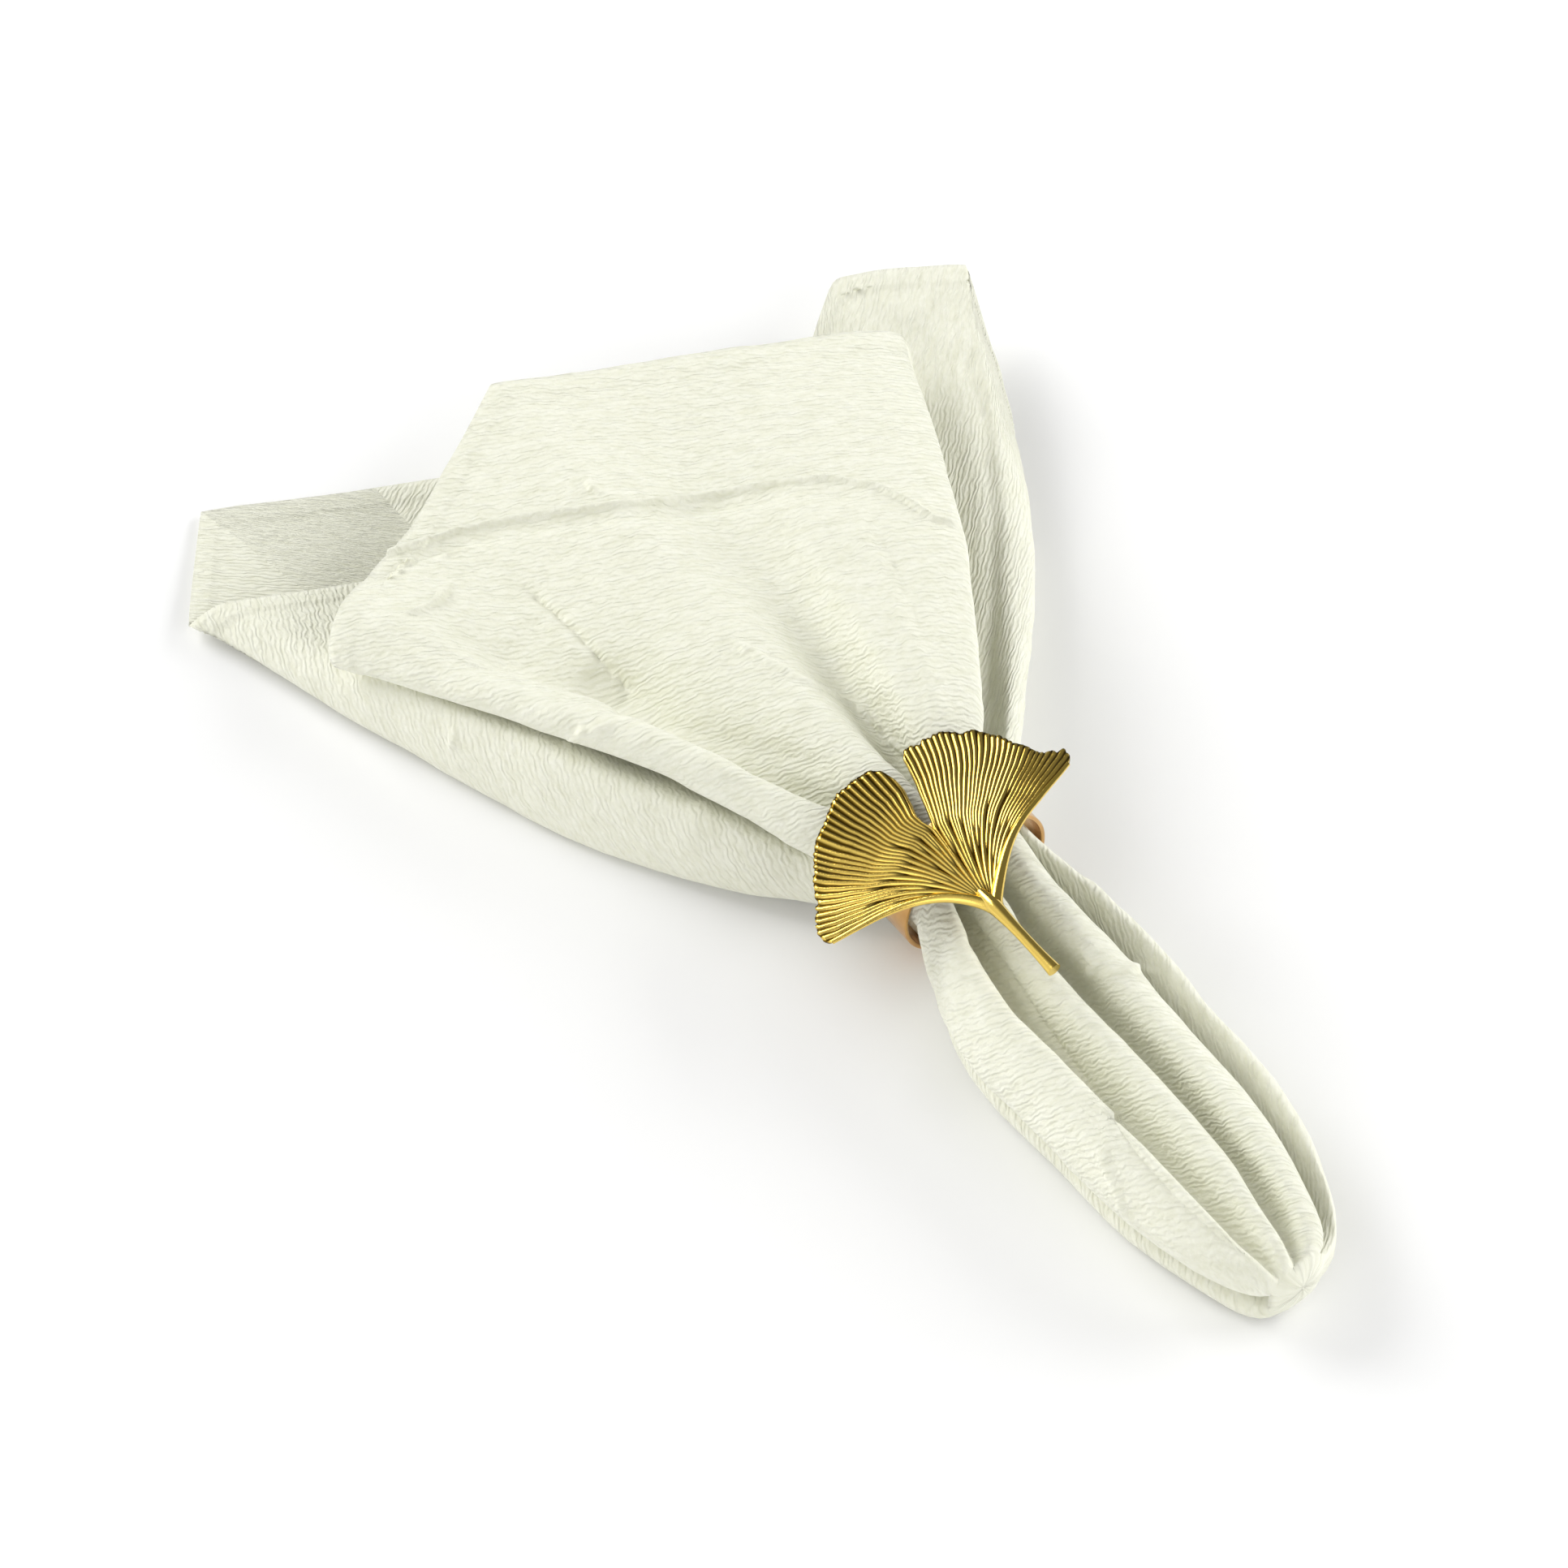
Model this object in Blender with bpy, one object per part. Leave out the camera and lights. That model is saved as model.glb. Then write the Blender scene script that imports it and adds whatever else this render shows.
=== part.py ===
"""A cloth napkin gathered through a metal ring that carries a ginkgo leaf.

Sizes in the tables are millimetres. X runs across the napkin, Y along it from the loop's tip to
the spread corners, Z up. The origin is on the surface under the ring's centre.
"""
import math

import bmesh
import bpy
from mathutils import Matrix, Vector

MM = 0.001

# The ring: a flat strap bent to a circle, resting on one flat of its rim.
RING_OUTER_RADIUS = 18.0
RING_WALL = 0.9
RING_WIDTH = 8.0
RING_SIDES = 48
RING_CENTRE = Vector((0.0, 0.0, RING_OUTER_RADIUS))

# The leaf: a ribbed fan of two lobes with a stalk, turned a little about the ring's axis.
LEAF_TILT = math.radians(12.0)
LEAF_LIFT = 19.7
LEAF_SIDE_SHIFT = -5.0
LEAF_DROOP = 3.0
LEAF_HALF_WIDTH = 33.0
LEAF_WALL = 1.1
LEAF_NODE_Y = -20.6
CLEFT_START = 20.5
CLEFT_END = 38.5
LEAF_ROOT = 2.2
RIB_HEIGHT = 0.32
RIM_HEIGHT = 1.0
RIBS_PER_LOBE = 14
BLADE_RINGS = 8
STALK_LENGTH = 18.6
STALK_SIDES = 12

# Each lobe's outer edge, as degrees from the +X side about the node, and radius.
LOBE_EDGES = {
    "left": [(85.5, CLEFT_END), (90.0, 41.3), (100.0, 42.2), (114.0, 40.4), (128.5, 37.4), (140.0, 36.2), (149.0, 34.0)],
    "right": [(79.3, CLEFT_END), (76.0, 41.0), (67.0, 41.7), (55.0, 40.0), (42.0, 36.8), (32.0, 37.2), (26.9, 35.6)],
}
# The stalk along its length: share of the length, radius, height over the blade's middle.
STALK_PROFILE = [(-0.25, 0.9, 0.3), (0.0, 1.7, 0.5), (0.3, 1.3, 0.7), (0.7, 1.2, 0.4), (1.0, 1.5, 0.2)]

# The cloth.
CLOTH_WALL = 1.0
CLOTH_REACH_IN_RING = RING_OUTER_RADIUS - RING_WALL - CLOTH_WALL / 2 - 0.5
LOOP_Y = -60.0
RING_Y = 5.0
FAN_Y = 60.0
TIP_Y = -110.0
TIP_CENTRE = (-4.6, 8.6)
TIP_HALF_WIDTH = 6.6
TIP_HALF_HEIGHT = 7.4
TIP_TURN = math.radians(250.0)
TIP_NOSE = 2.2
TIP_SQUARENESS = 0.7
NECK_FLARE = 1.2
LOOP_FLARE = 2.7
LOOP_BELLY = 0.12
STEPS_ACROSS = 3
STEPS = {"tip": 6, "loop": 8, "ring": 2, "neck": 6, "spread": 8}

# A row for each fold, crest, valley or corner that runs along the cloth, going once round it.
# Columns: name, across and height in the loop, in the ring and in the fan, the end of the line
# on the hem (across, along, height), and how softly the cloth turns there.
FOLDS = [
    ("base_left", -13.0, 0.5, -5.0, 2.9, -28.0, 0.5, -32.0, 166.0, 1.2, 8.0),
    ("corner_left", -18.5, 0.7, -9.0, 4.9, -41.0, 0.6, -66.0, 183.0, 1.4, 2.0),
    ("edge_left", -22.4, 3.4, -12.2, 8.0, -50.5, 2.6, -85.5, 157.5, 3.4, 3.0),
    ("side_top", -17.0, 6.8, -5.0, 8.6, -39.5, 16.5, -79.0, 154.2, 8.4, 4.0),
    ("side_in", -9.0, 6.0, 1.0, 8.4, -20.0, 10.5, -55.0, 140.4, 10.5, 9.0),
    ("tuck_left", 7.0, 6.8, 8.4, 9.6, 42.0, 7.4, 45.0, 100.0, 8.0, 2.0),
    ("tuck_back", -10.0, 8.6, -3.0, 11.8, -19.0, 15.2, -38.0, 112.0, 12.5, 9.0),
    ("roll_left", -24.3, 12.0, -15.2, 17.0, -39.8, 22.6, -70.5, 120.5, 15.5, 5.0),
    ("crest_1", -19.2, 26.5, -10.4, 29.4, -36.0, 30.8, -64.0, 129.0, 21.5, 4.0),
    ("valley_1", -15.4, 19.5, -7.5, 19.0, -27.0, 21.5, -38.0, 140.0, 19.0, 4.0),
    ("crest_2", -4.8, 27.0, -3.1, 32.6, -6.5, 32.0, -5.5, 157.6, 24.5, 5.0),
    ("valley_2", -2.6, 15.0, 0.3, 18.0, 7.0, 26.5, 16.0, 146.5, 25.5, 5.0),
    ("crest_3", 1.6, 22.5, 3.9, 32.4, 18.0, 35.0, 43.0, 130.5, 28.5, 6.0),
    ("crest_4", 5.4, 24.0, 8.8, 30.4, 46.0, 33.0, 72.3, 114.0, 27.0, 5.0),
    ("tuck_upper", 7.2, 16.5, 5.8, 22.5, 24.0, 24.5, 54.0, 104.0, 21.0, 9.0),
    ("tuck_right", -6.0, 11.4, -6.5, 15.4, -20.0, 19.2, -25.0, 108.0, 16.5, 2.0),
    ("tuck_lower", 9.5, 10.6, 6.5, 14.4, 20.0, 15.2, 50.0, 125.0, 14.0, 9.0),
    ("right_rise", 12.4, 14.6, 10.8, 20.0, 47.0, 14.5, 76.5, 142.5, 17.0, 4.0),
    ("right_peak", 17.6, 18.8, 12.8, 25.0, 60.0, 15.0, 100.5, 127.0, 19.5, 3.0),
    ("edge_right", 19.0, 9.0, 15.1, 15.8, 66.5, 8.0, 87.5, 94.0, 8.0, 4.0),
    ("under_right", 15.0, 4.6, 11.8, 8.0, 58.0, 3.8, 74.0, 88.0, 4.4, 4.0),
    ("pleat_top", 0.0, 4.1, 3.0, 6.7, 8.0, 4.6, 10.0, 112.0, 5.0, 9.0),
    ("pleat_left", -16.0, 3.2, -7.0, 6.5, -38.0, 3.6, -45.0, 128.0, 4.4, 1.5),
    ("pleat_under", 0.0, 2.3, 1.0, 4.9, 8.0, 2.5, 10.0, 120.0, 2.9, 9.0),
    ("pleat_right", 12.0, 1.6, 8.8, 5.6, 48.0, 1.7, 60.0, 90.0, 1.9, 1.5),
    ("base_mid", -1.0, 0.5, 2.4, 2.7, 10.0, 0.5, 28.0, 137.0, 0.6, 8.0),
]
# How softly the cloth turns at its own corners, at the hem.
CORNERS = {"corner_left": 0.3, "crest_2": 0.8, "right_peak": 0.4, "base_mid": 0.5, "edge_left": 1.5}


def clear_scene():
    for obj in list(bpy.data.objects):
        bpy.data.objects.remove(obj)


def material(name, colour, roughness, metallic):
    made = bpy.data.materials.new(name)
    made.use_nodes = True
    shader = made.node_tree.nodes["Principled BSDF"]
    shader.inputs["Base Color"].default_value = (*colour, 1.0)
    shader.inputs["Roughness"].default_value = roughness
    shader.inputs["Metallic"].default_value = metallic
    return made


def add_object(name, mesh_builder, finish):
    """A named object from a bmesh whose sizes are millimetres."""
    mesh_builder.transform(Matrix.Scale(MM, 4))
    bmesh.ops.recalc_face_normals(mesh_builder, faces=mesh_builder.faces)
    mesh = bpy.data.meshes.new(name)
    mesh_builder.to_mesh(mesh)
    mesh_builder.free()
    mesh.materials.append(finish)
    mesh.shade_smooth()
    mesh.set_sharp_from_angle(angle=math.radians(40))
    obj = bpy.data.objects.new(name, mesh)
    bpy.context.scene.collection.objects.link(obj)
    return obj


def add_wall(obj, thickness):
    wall = obj.modifiers.new("wall", "SOLIDIFY")
    wall.thickness = thickness * MM
    wall.offset = 0.0
    return obj


def hermite(start, end, slope_start, slope_end, share):
    """A cubic from start to end; the slopes are those over the whole step."""
    square, cube = share * share, share * share * share
    return (
        start * (2 * cube - 3 * square + 1)
        + slope_start * (cube - 2 * square + share)
        + end * (3 * square - 2 * cube)
        + slope_end * (cube - square)
    )


def smooth_line(knots, at):
    """The value at `at` of a smooth curve through (place, value) knots in rising order."""
    last = len(knots) - 1
    span = next((i for i in range(last) if at <= knots[i + 1][0]), last - 1)

    def slope(i):
        low, high = max(i - 1, 0), min(i + 1, last)
        return (knots[high][1] - knots[low][1]) / (knots[high][0] - knots[low][0])

    (place, value), (next_place, next_value) = knots[span], knots[span + 1]
    step = next_place - place
    return hermite(value, next_value, slope(span) * step, slope(span + 1) * step, (at - place) / step)


def tip_point(row):
    """Where a fold line ends on the oval of the loop's tip."""
    angle = TIP_TURN - row * math.tau / len(FOLDS)
    across, height = TIP_CENTRE
    side, rise = (math.copysign(abs(wave) ** TIP_SQUARENESS, wave) for wave in (math.cos(angle), math.sin(angle)))
    return Vector((across + TIP_HALF_WIDTH * side, TIP_Y, height + TIP_HALF_HEIGHT * rise))


def fold_point(row, part, share):
    """A point of one fold line, at a share of the way along one part of the cloth."""
    _, loop_x, loop_z, ring_x, ring_z, fan_x, fan_z, hem_x, hem_y, hem_z, _ = FOLDS[row]
    loop = Vector((loop_x, LOOP_Y, loop_z))
    pinch = Vector((ring_x, -RING_Y, ring_z))
    neck = Vector((ring_x, RING_Y, ring_z))
    fan = Vector((fan_x, FAN_Y, fan_z))
    hem = Vector((hem_x, hem_y, hem_z))
    along = Vector((0.0, 1.0, 0.0))
    if part == "tip":
        tip = tip_point(row)
        turn = share * math.pi / 2
        point = tip + (loop - tip) * math.sin(turn)
        point.y = LOOP_Y + (TIP_Y - LOOP_Y) * math.cos(turn)
        return point
    if part == "loop":
        step = pinch - loop
        flare = Vector((LOOP_FLARE * step.x, step.y, LOOP_FLARE * step.z))
        point = hermite(loop, pinch, along * step.y, flare, share)
        point.x *= 1 + LOOP_BELLY * math.sin(math.pi * share) ** 2
        return point
    if part == "ring":
        return pinch.lerp(neck, share)
    to_fan, to_hem = fan - neck, hem - fan
    through = (hem - neck) / 2
    if part == "neck":
        flare = Vector((NECK_FLARE * to_fan.x, to_fan.y, NECK_FLARE * to_fan.z))
        return hermite(neck, fan, flare, through, share)
    return hermite(fan, hem, through, to_hem, share)


def held(point):
    """The point kept inside the ring where it passes through, and on the surface below."""
    centre = Vector((0.0, point.y, RING_OUTER_RADIUS))
    out = point - centre
    reach = CLOTH_REACH_IN_RING + max(0.0, abs(point.y) - RING_Y)
    if out.length > reach:
        point = centre + out * (reach / out.length)
    point.z = max(point.z, CLOTH_WALL / 2)
    return point


def section(part, share):
    """The closed line of points across the whole cloth at one station."""
    count = len(FOLDS)
    corners = [fold_point(row, part, share) for row in range(count)]
    points = []
    for row in range(count):
        start, end = corners[row], corners[(row + 1) % count]
        reach = (end - start).length

        def turn(i):
            name, softness = FOLDS[i % count][0], FOLDS[i % count][-1]
            if name in CORNERS and part == "spread":
                softness += (CORNERS[name] - softness) * share**3
            way = (corners[(i + 1) % count] - corners[i - 1]).normalized()
            return way * min(softness * 3, reach)

        for step in range(STEPS_ACROSS):
            points.append(held(hermite(start, end, turn(row), turn((row + 1) % count), step / STEPS_ACROSS)))
    return points


def build_napkin(finish):
    stations = [
        (part, step / steps)
        for part, steps in STEPS.items()
        for step in range(steps)
    ] + [("spread", 1.0)]
    cloth = bmesh.new()
    rows = [[cloth.verts.new(point) for point in section(part, share)] for part, share in stations]
    for here, ahead in zip(rows, rows[1:]):
        for i in range(len(here)):
            j = (i + 1) % len(here)
            cloth.faces.new((here[i], here[j], ahead[j], ahead[i]))
    nose = cloth.verts.new((TIP_CENTRE[0], TIP_Y - TIP_NOSE, TIP_CENTRE[1]))
    for i, vert in enumerate(rows[0]):
        cloth.faces.new((nose, rows[0][(i + 1) % len(rows[0])], vert))
    return add_wall(add_object("napkin", cloth, finish), CLOTH_WALL)


def build_ring(finish):
    """A strap with one flat of its rim level on the surface."""
    ring = bmesh.new()
    corner_radius = RING_OUTER_RADIUS / math.cos(math.pi / RING_SIDES)
    half_turn = math.pi / RING_SIDES
    start = Vector((corner_radius * math.sin(half_turn), -RING_WIDTH / 2, -corner_radius * math.cos(half_turn)))
    inner = start * 1.0
    inner.x *= (RING_OUTER_RADIUS - RING_WALL) / RING_OUTER_RADIUS
    inner.z *= (RING_OUTER_RADIUS - RING_WALL) / RING_OUTER_RADIUS
    width = Vector((0.0, RING_WIDTH, 0.0))
    profile = [ring.verts.new(p) for p in (start, start + width, inner + width, inner)]
    edges = [ring.edges.new((profile[i], profile[(i + 1) % 4])) for i in range(4)]
    bmesh.ops.spin(
        ring, geom=profile + edges, cent=(0, 0, 0), axis=(0, 1, 0),
        angle=math.tau, steps=RING_SIDES, use_merge=True,
    )
    bmesh.ops.remove_doubles(ring, verts=ring.verts, dist=0.001)
    bmesh.ops.translate(ring, verts=ring.verts, vec=RING_CENTRE)
    return add_object("ring_band", ring, finish)


def lobe_angle(side, share_out, share_over):
    """Degrees about the node: share_over 0 is the cleft's edge, and 1 the lower edge."""
    edge = LOBE_EDGES[side]
    radius = share_out * CLEFT_END
    opened = max(0.0, (radius - CLEFT_START) / (CLEFT_END - CLEFT_START))
    middle = 84.5 + 5.5 * (1 - min(1.0, radius / CLEFT_START))
    cleft = middle + (edge[0][0] - middle) * opened
    lower_at_node = 113.0 if side == "left" else 44.0
    lower = lower_at_node + (edge[-1][0] - lower_at_node) * share_out**0.85
    return cleft + (lower - cleft) * share_over


def leaf_point(across, along, lift):
    """From the leaf's own plane to the world: across and along it, and over it."""
    level = LEAF_LIFT + lift - LEAF_DROOP * (across / LEAF_HALF_WIDTH) ** 2
    side = Vector((math.cos(LEAF_TILT), 0.0, math.sin(LEAF_TILT)))
    out = Vector((-math.sin(LEAF_TILT), 0.0, math.cos(LEAF_TILT)))
    return RING_CENTRE + side * across + out * level + Vector((0.0, along, 0.0))


def build_blade(finish):
    """Both lobes on one fan of ribs, joined from the node to the cleft's start."""
    blade = bmesh.new()
    columns = 2 * RIBS_PER_LOBE
    for side in LOBE_EDGES:
        edge = sorted(LOBE_EDGES[side])
        rows = []
        for ring in range(BLADE_RINGS + 1):
            row = []
            for column in range(columns + 1):
                over = column / columns
                outer = smooth_line(edge, lobe_angle(side, 1.0, over))
                share = ring / BLADE_RINGS
                radius = LEAF_ROOT + (outer - LEAF_ROOT) * share
                angle = math.radians(lobe_angle(side, radius / outer, over))
                rib = RIB_HEIGHT * (1 if column % 2 else -1) * min(1.0, radius / CLEFT_START)
                rim = RIM_HEIGHT * (1 - share) if column >= columns - 1 else 0.0
                row.append(blade.verts.new(leaf_point(
                    LEAF_SIDE_SHIFT + radius * math.cos(angle),
                    LEAF_NODE_Y + radius * math.sin(angle),
                    rib + rim,
                )))
            rows.append(row)
        for here, ahead in zip(rows, rows[1:]):
            for i in range(columns):
                blade.faces.new((here[i], here[i + 1], ahead[i + 1], ahead[i]))
    bmesh.ops.remove_doubles(blade, verts=blade.verts, dist=0.05)
    return add_wall(add_object("leaf", blade, finish), LEAF_WALL)


def build_stalk(finish):
    stalk = bmesh.new()
    rows = []
    for share, radius, lift in STALK_PROFILE:
        centre = (LEAF_SIDE_SHIFT, LEAF_NODE_Y - share * STALK_LENGTH, lift)
        row = []
        for i in range(STALK_SIDES):
            angle = i * math.tau / STALK_SIDES
            row.append(stalk.verts.new(leaf_point(
                centre[0] + radius * math.cos(angle), centre[1], centre[2] + radius * math.sin(angle),
            )))
        rows.append(row)
    bmesh.ops.contextual_create(stalk, geom=rows[0])
    bmesh.ops.contextual_create(stalk, geom=rows[-1])
    for here, ahead in zip(rows, rows[1:]):
        for i in range(STALK_SIDES):
            j = (i + 1) % STALK_SIDES
            stalk.faces.new((here[i], here[j], ahead[j], ahead[i]))
    return add_object("stalk", stalk, finish)


def main():
    clear_scene()
    cotton = material("crinkled_cotton", (0.86, 0.87, 0.76), 0.9, 0.0)
    gold = material("gold_plate", (0.83, 0.60, 0.16), 0.22, 1.0)
    build_napkin(cotton)
    build_ring(gold)
    leaf = build_blade(gold)
    stalk = build_stalk(gold)
    union = leaf.modifiers.new("stalk", "BOOLEAN")
    union.operation = "UNION"
    union.solver = "MANIFOLD"
    union.object = stalk
    stalk.hide_render = True
    stalk.display_type = "WIRE"


main()
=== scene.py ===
"""A crinkled cotton napkin drawn through a gold ring that carries a ginkgo leaf.

Sizes in the tables are millimetres, in the frame of the solids: X runs across the napkin, Y along
it from the loop's tip to the spread corners, Z up, and the origin is under the ring's centre.
"""
import math

import bmesh
import bpy
import numpy as np
from mathutils import Matrix, Vector, noise
from mathutils.bvhtree import BVHTree


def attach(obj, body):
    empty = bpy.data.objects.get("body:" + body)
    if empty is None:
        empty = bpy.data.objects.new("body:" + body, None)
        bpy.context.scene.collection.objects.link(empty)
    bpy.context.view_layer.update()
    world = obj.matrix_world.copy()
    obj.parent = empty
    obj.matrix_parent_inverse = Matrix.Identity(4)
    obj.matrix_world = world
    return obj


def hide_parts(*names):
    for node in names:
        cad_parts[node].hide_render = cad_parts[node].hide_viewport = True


MM = 0.001

# The photograph's view: where the lens stands round the ring, and how wide it sees.
VIEW_AZIMUTH = math.radians(-37.0)
VIEW_ELEVATION = math.radians(54.0)
VIEW_DISTANCE = 1000.0
SENSOR = 36.0
LENS = 113.7
RING_IN_FRAME = (0.1144, -0.0549)

# The ring.
RING_OUTER_RADIUS = 18.0
RING_WALL = 0.9
RING_WIDTH = 8.0
RING_ROUNDING = 0.3
RING_STEPS = 144
RING_CENTRE = np.array((0.0, 0.0, RING_OUTER_RADIUS))

# The leaf.
LEAF_TILT = math.radians(12.0)
LEAF_LIFT = 19.9
LEAF_SIDE_SHIFT = -5.0
LEAF_DROOP = 3.0
LEAF_HALF_WIDTH = 33.0
LEAF_WALL = 0.8
LEAF_WALL_OFFSET = -0.2
LEAF_NODE_Y = -20.6
LEAF_ROOT = 1.0
LEAF_REACH = 42.0
BLADE_ROWS = 52
RIBS_PER_LOBE = 29
STEPS_PER_RIB = 8
RIB_HEIGHT = 0.22
RIB_HALF_WIDTH = 0.33
# A rib's height near the node, as a share, and the radius over which it comes to all of it.
RIB_LEAST, RIB_FULL_AT = 0.45, 30.0
# The share of its height that a rib loses at the outer edge, and how late it does.
RIB_EDGE_LOSS, RIB_EDGE_POWER = 0.6, 8
# How far from the node each of four neighbouring ribs starts, the chance added to that, and the
# length over which a rib grows to its full height.
RIB_STARTS = (0.0, 21.0, 11.0, 17.0)
RIB_START_CHANCE = 6.0
RIB_GROWTH = 3.0
RIB_SWAY, RIB_SWAY_OVER, RIB_SWAY_OUT = 0.35, 9.0, 3.0
BLADE_WAVE, BLADE_WAVE_OVER = 0.55, 7.0
# The fine frill of the outer edge: height, waves to a degree, and its place in the noise.
FRILLS = ((0.5, 0.55, 5.0), (0.3, 1.3, 9.0))
# Where in the noise each lobe reads the starts of its ribs and their sway.
LOBE_CHANCE = {"left": (4.0, 1.0), "right": (11.0, 6.0)}
# Each lobe's outer edge, as angle and radius about the node where its ribs meet.
OUTER_EDGES = {
    "left": [
        (85.1, 36.0), (86.3, 38.7), (87.7, 40.1), (89.7, 41.3), (92.3, 41.6), (96.2, 41.7),
        (100.0, 42.2), (103.5, 41.8), (106.4, 40.9), (110.3, 40.5), (114.8, 40.4), (118.6, 39.6),
        (123.4, 38.2), (128.5, 37.4), (134.8, 36.0), (140.2, 36.2), (146.1, 35.3), (148.0, 34.4),
        (149.0, 33.0),
    ],
    "right": [
        (26.9, 35.4), (27.6, 36.9), (29.9, 37.8), (33.4, 36.7), (37.3, 36.0), (41.8, 36.9),
        (45.9, 37.3), (49.0, 38.7), (52.8, 39.6), (57.3, 40.8), (61.1, 40.3), (64.5, 41.5),
        (67.2, 41.7), (70.6, 41.4), (73.5, 40.7), (77.0, 41.1), (78.4, 40.6), (79.3, 39.2),
    ],
}
# The two edges of each lobe that run out from the node, as radius and angle.
CLEFT_EDGES = {
    "left": [
        (0.0, 90.0), (16.0, 85.4), (22.0, 85.0), (24.8, 87.2), (27.0, 87.7), (29.4, 86.4),
        (33.0, 85.1), (42.0, 85.1),
    ],
    "right": [
        (0.0, 90.0), (16.0, 85.4), (22.0, 84.6), (24.1, 83.2), (27.6, 81.6), (32.9, 79.7),
        (37.0, 79.2), (42.0, 79.3),
    ],
}
LOWER_EDGES = {
    "left": [
        (1.0, 113.4), (4.6, 117.7), (9.8, 123.7), (14.8, 130.6), (20.5, 137.8), (26.4, 143.9),
        (31.9, 147.8), (35.0, 149.0),
    ],
    "right": [
        (1.0, 44.0), (7.0, 42.6), (11.3, 41.2), (15.7, 39.2), (20.5, 35.7), (25.6, 31.4),
        (31.9, 28.1), (36.0, 26.9),
    ],
}
# The rim along a lower edge: its knots, its radius at the tip, what it gains towards the node and
# how late, and where it runs on under the stalk, as distance below the node, lift and radius.
RIM_KNOTS = 14
RIM_LIFT = 0.1
RIM_RADIUS, RIM_GAIN, RIM_GAIN_POWER = 0.5, 0.85, 1.5
RIM_ENDS = ((1.6, 0.4, 1.4), (5.0, 0.5, 0.9))
# The stalk from its top down: share of its length, radius and lift over the blade's middle.
STALK_LENGTH = 18.6
STALK = [
    (-0.25, 0.9, 0.3), (-0.05, 1.7, 0.5), (0.12, 1.45, 0.7), (0.35, 1.15, 0.7), (0.65, 1.15, 0.5),
    (0.88, 1.3, 0.3), (1.0, 1.5, 0.2),
]
ROD_SHARP_ANGLE = math.radians(50)

# The napkin.
CLOTH_WALL = 0.5
CLOTH_LOWEST = 0.5
HEM_WALL = 1.0
HEM_WIDTH = 5.0
LOOP_Y = -60.0
RING_Y = 5.0
FAN_Y = 60.0
TIP_Y = -110.0
TIP_CENTRE = (-4.6, 8.6)
TIP_HALF_WIDTH = 6.6
TIP_HALF_HEIGHT = 7.4
TIP_TURN = math.radians(250.0)
TIP_SQUARENESS = 0.7
TIP_RIM_DEPTH = 4.0
# The rings that close the tip: how far each draws in, and how far it stands out.
TIP_RINGS = ((0.8, -1.0), (0.5, -0.9), (0.1, -0.2))
NECK_FLARE = 1.2
LOOP_FLARE = 3.4
LOOP_BELLY = 0.08
# How far from the ring's middle the cloth may reach inside it, and what it gains for each
# millimetre that it is past the ring.
CLOTH_REACH_IN_RING = RING_OUTER_RADIUS - RING_WALL - CLOTH_WALL / 2 - 0.75
CLOTH_REACH_GAIN = 1.5
# How far the cloth runs straight at a fold, for each step of its softness.
TURN_REACH = 3
ROWS_ALONG = {"tip": 15, "loop": 23, "ring": 5, "neck": 26, "spread": 52}
HEM_ROWS = [5.6, 5.0, 4.4, 3.2, 1.6, 0.0]
STITCH_ROW = 4.4
STITCH_START, STITCH_PITCH, STITCH_LENGTH, STITCH_WIDTH, STITCH_PROUD = 0.5, 3.0, 2.1, 0.42, 0.14

# Unevenness of the cloth: height and scales of its soft waves, its ripples and its gathers, how
# far the gathers run out of the ring, and where the cloth becomes free of the ring.
WAVE_HEIGHT, WAVE_SCALE, WAVE_RISE_SCALE = 0.7, 0.045, 0.05
RIPPLE_HEIGHT, RIPPLE_SCALE, RIPPLE_PLACE = 0.28, 0.16, 5
GATHER_HEIGHT, GATHER_SCALE, GATHER_RUN_SCALE, GATHER_PLACE = 0.75, 0.26, 0.028, 9.0
GATHER_RUN = 30.0
FREE_FROM, FREE_OVER = 6.0, 12.0

# Creases this narrow or narrower are sharp: the faces within these reaches are made finer.
SHARP_CREASE = 1.2
REFINED_REACHES = (2.1, 1.3)
# How far above the cloth a crease's points start, and the steps between two of its points.
CREASE_START = 80
CREASE_STEPS = 5
# How many widths a crease reaches to the side, and its fading at the ends: a least length, and
# what each millimetre of width adds.
CREASE_REACH = 3
CREASE_FADE, CREASE_FADE_BY_WIDTH = 2.0, 2.5
# Raggedness: scales along a crease and over the cloth, and steps in the noise between creases.
WOBBLE_SCALE, WOBBLE_STEP = 0.35, 7.3
RAGGED_SCALE, RAGGED_STEP = 0.55, 3.1
# Cloth that faces down further than this isn't pressed, so that no layer comes through another.
PRESS_FADE = 0.3

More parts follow.
